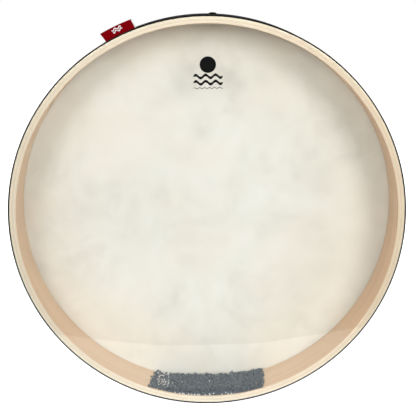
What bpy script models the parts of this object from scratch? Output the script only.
"""Ocean drum: a plywood frame drum with a clear head, a cream head and loose steel shot inside.

The drum stands on its rim. Its axis lies along Y, the clear head faces -Y, and the
origin is under the middle of the rim, on the surface that it stands on. Metres, +Z up.
"""
import bpy
import bmesh
from math import asin, cos, pi, radians, sin, sqrt
from mathutils import Matrix, Vector

# Overall sizes
OUTER_DIAMETER = 0.508
DEPTH = 0.0635
FACETS = 72

# Clearance between pieces that touch or are glued on the real drum
GAP = 0.0003

# Black trim band round the outside
BAND_THICKNESS = 0.00145
BAND_SETBACK = 0.0003
BAND_CORNER = 0.0003
BAND_SEAM_ANGLE = radians(250)

# Heads: films drawn over the shell's edge and turned down outside it
FILM_THICKNESS = 0.00035
COLLAR_DEPTH = 0.016
BEND_STEPS = 3

# Shell: strips of veneer bent round and glued in layers
PLY_COUNT = 5
PLY_THICKNESS = 0.0014
EDGE_ROUND = 0.0009
INNER_EDGE_ROUND = 0.0005
SEAM_WIDTH = 0.0004
SEAM_SLANT = radians(55)
FIRST_SEAM_ANGLE = radians(205)
SEAM_STEP = radians(77)

# Filling hole and its plug, just past the top
PLUG_ANGLE = radians(87.2)
PLUG_HEAD_RADIUS = 0.005
PLUG_HEAD_RISE = 0.0018
PLUG_HEAD_LIP = 0.0006
PLUG_STEM_RADIUS = 0.0030
PLUG_STEM_TAPER = 0.0004
PLUG_SIDES = 20
BORE_CLEARANCE = 0.00035

# Ribbon label standing up from the band
LABEL_ANGLE = radians(113.6)
LABEL_LENGTH = 0.039
LABEL_HEIGHT = 0.0123
LABEL_FOOT = 0.0054
LABEL_FOLD = 0.0012
LABEL_RIBBON = 0.0005
LABEL_FRONT_INSET = 0.0020
LABEL_STEPS = 6

# Loose shot, shared out between lanes that roll round the shell side by side
LANE_COUNT = 6
PILE_HALF_WIDTH = 0.075
PILE_HEIGHT_FRONT = 0.0114
PILE_HEIGHT_REAR = 0.0068
PILE_END_THICKNESS = 0.0017
PILE_STEPS = 10

# Values that follow from the sizes above
OUTER_RADIUS = OUTER_DIAMETER / 2
HALF_DEPTH = DEPTH / 2
HALF_FACET = pi / FACETS
AXIS_HEIGHT = OUTER_RADIUS * cos(HALF_FACET)
BAND_INNER = OUTER_RADIUS - BAND_THICKNESS
COLLAR_OUTER = BAND_INNER - GAP
COLLAR_INNER = COLLAR_OUTER - FILM_THICKNESS
SHELL_OUTER = COLLAR_INNER - GAP
PLY_PITCH = PLY_THICKNESS + GAP
SHELL_INNER = SHELL_OUTER - PLY_COUNT * PLY_THICKNESS - (PLY_COUNT - 1) * GAP
SHELL_HALF = HALF_DEPTH - FILM_THICKNESS - GAP
BAND_HALF = HALF_DEPTH - BAND_SETBACK
BORE_RADIUS = PLUG_STEM_RADIUS + BORE_CLEARANCE
CHAMBER_HALF = HALF_DEPTH - FILM_THICKNESS - GAP
LANE_RADIUS = SHELL_INNER * cos(HALF_FACET) - GAP

# Colours (red, green, blue), roughness and metallic value of each finish
PLY_FINISHES = [
    ((0.80, 0.66, 0.42), 0.55, 0.0),
    ((0.76, 0.65, 0.47), 0.55, 0.0),
    ((0.66, 0.56, 0.38), 0.55, 0.0),
    ((0.76, 0.65, 0.47), 0.55, 0.0),
    ((0.62, 0.42, 0.25), 0.50, 0.0),
]
CLEAR_FILM = ((0.92, 0.94, 0.95), 0.05, 0.0)
CREAM_FILM = ((0.83, 0.78, 0.66), 0.55, 0.0)
BLACK_TRIM = ((0.012, 0.012, 0.013), 0.50, 0.0)
BLACK_RUBBER = ((0.015, 0.015, 0.016), 0.60, 0.0)
RED_RIBBON = ((0.42, 0.010, 0.020), 0.80, 0.0)
SHOT_STEEL = ((0.36, 0.38, 0.39), 0.30, 1.0)
CLEAR_ALPHA = 0.15


def empty_the_file():
    for obj in list(bpy.data.objects):
        bpy.data.objects.remove(obj, do_unlink=True)


def new_collection(name):
    collection = bpy.data.collections.new(name)
    bpy.context.scene.collection.children.link(collection)
    return collection


def new_material(name, finish, alpha=1.0):
    colour, roughness, metallic = finish
    material = bpy.data.materials.new(name)
    material.use_nodes = True
    shader = material.node_tree.nodes["Principled BSDF"]
    shader.inputs["Base Color"].default_value = (*colour, 1.0)
    shader.inputs["Roughness"].default_value = roughness
    shader.inputs["Metallic"].default_value = metallic
    shader.inputs["Alpha"].default_value = alpha
    return material


def new_object(name, mesh, collection, parent=None):
    obj = bpy.data.objects.new(name, mesh)
    collection.objects.link(obj)
    obj.parent = parent
    return obj


def as_axis_frame(obj, location):
    """Place an empty on the drum's axis, its local Z along the world's +Y."""
    obj.location = location
    obj.rotation_euler = (-pi / 2, 0, 0)


def arc(centre, radius, start, end, steps):
    """Points of an arc in the (radius, height) plane, ends included."""
    turn = (end - start) / steps
    angles = [start + turn * i for i in range(steps + 1)]
    return [(centre[0] + radius * cos(a), centre[1] + radius * sin(a)) for a in angles]


def turned(name, profile, closed, finish, place, sides=FACETS, alpha=1.0):
    """Turn a (radius, height) profile about the local Z axis.

    The profile starts half a facet round, so that a flat, not a corner, is lowest.
    """
    collection, parent = place
    start = pi / sides
    points = [(r * cos(start), r * sin(start), z) for r, z in profile]
    count = len(points)
    edges = [(i, i + 1) for i in range(count - 1)]
    if closed:
        edges.append((count - 1, 0))
    mesh = bpy.data.meshes.new(name)
    mesh.from_pydata(points, edges, [])
    obj = new_object(name, mesh, collection, parent)
    screw = obj.modifiers.new("turn", "SCREW")
    screw.axis = "Z"
    screw.angle = 2 * pi
    screw.steps = sides
    screw.render_steps = sides
    screw.use_merge_vertices = True
    screw.merge_threshold = 0.00001
    screw.use_smooth_shade = False
    obj.data.materials.append(new_material(name, finish, alpha))
    return obj


def ring_profile(inner, outer, half_width, inner_round, outer_round):
    """A ring's section, down its outer side and back up its inner side."""
    points = []
    if outer_round > 0:
        centre = (outer - outer_round, half_width - outer_round)
        points += arc(centre, outer_round, pi / 2, 0, 2)
        centre = (centre[0], -centre[1])
        points += arc(centre, outer_round, 0, -pi / 2, 2)
    else:
        points += [(outer, half_width), (outer, -half_width)]
    if inner_round > 0:
        centre = (inner + inner_round, inner_round - half_width)
        points += arc(centre, inner_round, -pi / 2, -pi, 2)
        centre = (centre[0], -centre[1])
        points += arc(centre, inner_round, pi, pi / 2, 2)
    else:
        points += [(inner, -half_width), (inner, half_width)]
    return points


def cutter(name, obj, collection):
    obj.name = name
    obj.hide_render = True
    obj.display_type = "WIRE"
    for owner in list(obj.users_collection):
        owner.objects.unlink(obj)
    collection.objects.link(obj)
    return obj


def cut(obj, tool):
    boolean = obj.modifiers.new(tool.name, "BOOLEAN")
    boolean.operation = "DIFFERENCE"
    boolean.solver = "EXACT"
    boolean.object = tool


def seam_cutter(name, angle, radius, slant, width, collection):
    """A thin slanted blade across a ring's wall at one angle round the drum."""
    mesh = bpy.data.meshes.new(name)
    shape = bmesh.new()
    bmesh.ops.create_cube(shape, size=1.0)
    reach = 6 * PLY_THICKNESS
    size = Matrix.Diagonal((reach, 2 * DEPTH, width, 1.0))
    bmesh.ops.transform(shape, matrix=size, verts=shape.verts)
    shape.to_mesh(mesh)
    shape.free()
    blade = new_object(name, mesh, collection)
    along = Vector((cos(angle), 0, sin(angle)))
    blade.location = Vector((0, 0, AXIS_HEIGHT)) + along * radius
    blade.rotation_euler = (0, -angle - slant, 0)
    return cutter(name, blade, collection)


def at_plug_angle(obj, radius):
    """Stand an object on the rim at the plug's angle, its local Z pointing outwards."""
    obj.location = (radius * cos(PLUG_ANGLE), 0, AXIS_HEIGHT + radius * sin(PLUG_ANGLE))
    obj.rotation_euler = (0, pi / 2 - PLUG_ANGLE, 0)


def bore_cutter(collection):
    """The filling hole: a rod standing through the top of the shell and band."""
    length = OUTER_RADIUS - SHELL_INNER + 0.02
    bpy.ops.mesh.primitive_cylinder_add(vertices=PLUG_SIDES, radius=BORE_RADIUS, depth=length)
    rod = bpy.context.object
    at_plug_angle(rod, (OUTER_RADIUS + SHELL_INNER) / 2)
    return cutter("bore_cutter", rod, collection)


def build_shell(place, cutters, bore):
    for i in range(PLY_COUNT):
        outer = SHELL_OUTER - i * PLY_PITCH
        inner = outer - PLY_THICKNESS
        outer_round = EDGE_ROUND if i == 0 else 0
        inner_round = INNER_EDGE_ROUND if i == PLY_COUNT - 1 else 0
        profile = ring_profile(inner, outer, SHELL_HALF, inner_round, outer_round)
        name = f"shell_ply_{i + 1}"
        ply = turned(name, profile, True, PLY_FINISHES[i % len(PLY_FINISHES)], place)
        angle = FIRST_SEAM_ANGLE + i * SEAM_STEP
        middle = (inner + outer) / 2
        slant = SEAM_SLANT if i % 2 == 0 else -SEAM_SLANT
        blade = seam_cutter(f"seam_cutter_{i + 1}", angle, middle, slant, SEAM_WIDTH, cutters)
        cut(ply, blade)
        cut(ply, bore)


def build_head(name, finish, alpha, place, facing):
    """A film: flat across the drum, bent over the shell's edge, then a collar.

    facing is +1 for the rear head and -1 for the front head.
    """
    bend_inner = EDGE_ROUND + GAP
    bend_outer = bend_inner + FILM_THICKNESS
    under = HALF_DEPTH - FILM_THICKNESS
    centre = (COLLAR_INNER - bend_inner, under - bend_inner)
    hem = HALF_DEPTH - COLLAR_DEPTH
    outside = [(0, HALF_DEPTH)]
    outside += arc(centre, bend_outer, pi / 2, 0, BEND_STEPS)
    outside += [(COLLAR_OUTER, hem), (COLLAR_INNER, hem)]
    inside = arc(centre, bend_inner, 0, pi / 2, BEND_STEPS)
    inside += [(0, under)]
    head = turned(name, outside + inside, False, finish, place, alpha=alpha)
    if facing < 0:
        head.rotation_euler = (pi, 0, 0)
    return head


def build_band(place, cutters, bore):
    profile = ring_profile(BAND_INNER, OUTER_RADIUS, BAND_HALF, 0, BAND_CORNER)
    band = turned("rim_band", profile, True, BLACK_TRIM, place)
    middle = (BAND_INNER + OUTER_RADIUS) / 2
    blade = seam_cutter("band_seam_cutter", BAND_SEAM_ANGLE, middle, 0, SEAM_WIDTH, cutters)
    cut(band, blade)
    cut(band, bore)


def build_plug(collection):
    """A domed rubber plug, pushed into the filling hole from outside."""
    stem_length = OUTER_RADIUS - SHELL_INNER + GAP
    stem_foot = PLUG_STEM_RADIUS - PLUG_STEM_TAPER
    rise = PLUG_HEAD_RISE - PLUG_HEAD_LIP
    dome = (PLUG_HEAD_RADIUS ** 2 + rise ** 2) / (2 * rise)
    sweep = asin(PLUG_HEAD_RADIUS / dome)
    centre = (0, PLUG_HEAD_RISE - dome)
    profile = arc(centre, dome, pi / 2, pi / 2 - sweep, 4)
    profile += [(PLUG_HEAD_RADIUS, 0), (PLUG_STEM_RADIUS, 0)]
    profile += [(stem_foot, -stem_length), (0, -stem_length)]
    plug = turned("fill_plug", profile, False, BLACK_RUBBER, (collection, None), PLUG_SIDES)
    at_plug_angle(plug, OUTER_RADIUS + GAP)
    return plug


def label_section():
    """The ribbon's middle line: a tall loop with a flat foot, as (height, y) points."""
    half = LABEL_RIBBON / 2
    foot_front = half
    foot_rear = LABEL_FOOT - half
    fold = LABEL_FOLD / 2 - half
    top = LABEL_HEIGHT - half - fold
    middle = LABEL_FOLD / 2
    points = [(half, foot_rear), (half, foot_front)]
    points += [(top + fold * sin(a), middle - fold * cos(a)) for a in (0, pi / 2, pi)]
    return points


def build_label(collection, parent):
    """A woven ribbon folded into a loop, its foot glued to the band's outside."""
    foot_radius = OUTER_RADIUS + GAP
    front = LABEL_FRONT_INSET - HALF_DEPTH
    half_angle = LABEL_LENGTH / 2 / OUTER_RADIUS
    section = label_section()
    count = len(section)
    rows = []
    for i in range(LABEL_STEPS + 1):
        angle = -LABEL_ANGLE - half_angle + 2 * half_angle * i / LABEL_STEPS
        for height, y in section:
            r = foot_radius + height
            rows.append((r * cos(angle), r * sin(angle), front + y))
    faces = []
    for i in range(LABEL_STEPS):
        for j in range(count):
            a = i * count + j
            b = i * count + (j + 1) % count
            faces.append((a, b, b + count, a + count))
    mesh = bpy.data.meshes.new("flag_label")
    mesh.from_pydata(rows, [], faces)
    label = new_object("flag_label", mesh, collection, parent)
    ribbon = label.modifiers.new("ribbon", "SOLIDIFY")
    ribbon.thickness = LABEL_RIBBON
    ribbon.offset = 0
    ribbon.use_rim = True
    label.data.materials.append(new_material("flag_label", RED_RIBBON))
    return label


def pile_top(x, share):
    """Height of the shot above the shell's lowest inside point, share 0 front to 1 rear."""
    middle = PILE_HEIGHT_FRONT + (PILE_HEIGHT_REAR - PILE_HEIGHT_FRONT) * share
    wall = LANE_RADIUS - sqrt(LANE_RADIUS ** 2 - PILE_HALF_WIDTH ** 2)
    end = wall + PILE_END_THICKNESS
    return middle + (end - middle) * (x / PILE_HALF_WIDTH) ** 2


def build_lane(index, collection, parent):
    """One slice of the shot pile, free to roll all the way round the shell."""
    width = (2 * CHAMBER_HALF - (LANE_COUNT + 1) * GAP) / LANE_COUNT
    low = -CHAMBER_HALF + GAP + index * (width + GAP)
    share = (low + width / 2 + CHAMBER_HALF) / (2 * CHAMBER_HALF)
    reach = asin(PILE_HALF_WIDTH / LANE_RADIUS)
    outline = arc((0, 0), LANE_RADIUS, pi / 2 - reach, pi / 2 + reach, PILE_STEPS + 2)
    for i in range(PILE_STEPS + 1):
        x = PILE_HALF_WIDTH * (2 * i / PILE_STEPS - 1)
        outline.append((x, LANE_RADIUS - pile_top(x, share)))
    name = f"shot_lane_{index + 1}"
    mesh = bpy.data.meshes.new(name)
    shape = bmesh.new()
    face = shape.faces.new([shape.verts.new((x, y, low)) for x, y in outline])
    grown = bmesh.ops.extrude_face_region(shape, geom=[face])
    top = [v for v in grown["geom"] if isinstance(v, bmesh.types.BMVert)]
    bmesh.ops.translate(shape, verts=top, vec=(0, 0, width))
    bmesh.ops.recalc_face_normals(shape, faces=shape.faces)
    shape.to_mesh(mesh)
    shape.free()
    lane = new_object(name, mesh, collection, parent)
    lane.data.materials.append(new_material(name, SHOT_STEEL))
    return lane


def main():
    empty_the_file()
    drum = new_collection("ocean_drum")
    cutters = new_collection("cutters")
    axis = new_object("drum_axis", None, drum)
    as_axis_frame(axis, (0, 0, AXIS_HEIGHT))
    place = (drum, axis)
    bore = bore_cutter(cutters)
    build_shell(place, cutters, bore)
    build_head("front_head", CLEAR_FILM, CLEAR_ALPHA, place, -1)
    build_head("rear_head", CREAM_FILM, 1.0, place, 1)
    build_band(place, cutters, bore)
    build_plug(drum)
    build_label(drum, axis)
    for index in range(LANE_COUNT):
        build_lane(index, drum, axis)


main()
